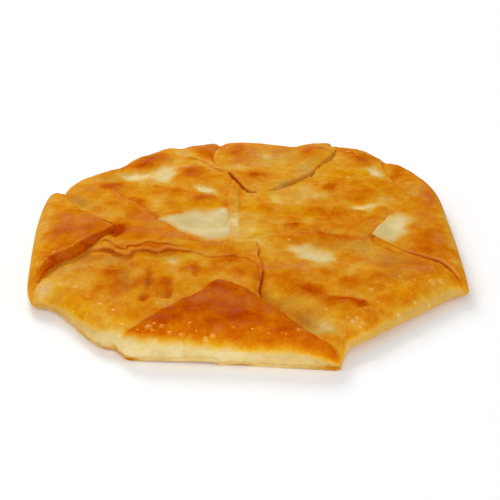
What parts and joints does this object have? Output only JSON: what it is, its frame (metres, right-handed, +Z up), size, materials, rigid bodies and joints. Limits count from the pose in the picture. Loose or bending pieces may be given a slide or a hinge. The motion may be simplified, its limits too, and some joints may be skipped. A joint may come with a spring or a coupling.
{
  "type": "placinta",
  "caption": "Flat round fried pie of stretched dough, with inner and outer flaps folded to the middle, an eight-sided rim and a flat underside.",
  "frame": {"origin": "middle of the pie's outline in plan, on the surface that it rests on", "axes": "+Z up through the thickness; -Y towards the front flap, +X to the right of it"},
  "size_m": [0.196, 0.1956, 0.0169],
  "materials": {
    "crust": "fried dough: golden to red-brown in patches, pale cream where the fold shaded it, with a thin oily sheen"
  },
  "bodies": {
    "root": {"placinta": "crust"}
  },
  "joints": []
}
